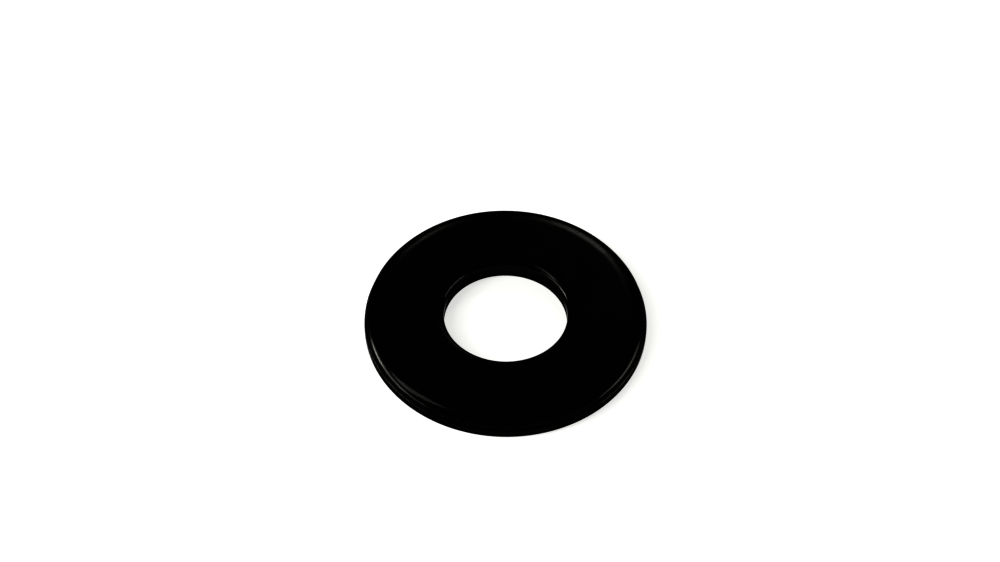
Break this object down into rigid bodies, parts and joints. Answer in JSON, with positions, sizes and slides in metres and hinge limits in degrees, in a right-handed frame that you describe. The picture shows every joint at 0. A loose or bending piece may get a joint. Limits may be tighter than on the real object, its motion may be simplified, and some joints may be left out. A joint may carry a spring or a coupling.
{
  "type": "flat washer",
  "caption": "Thin round flat washer with a plain central hole, softly rolled upper edges and a flat underside, in black oxide steel.",
  "frame": {"origin": "centre of the hole on the bottom (flat) face", "axes": "+Z along the hole's axis, from the flat bottom face to the top face with the rolled edges"},
  "size_m": [0.0254, 0.0254, 0.0019],
  "materials": {
    "black_oxide_steel": "black oxide, lightly oiled, satin"
  },
  "bodies": {
    "root": {"washer_ring": "black_oxide_steel"}
  },
  "joints": []
}
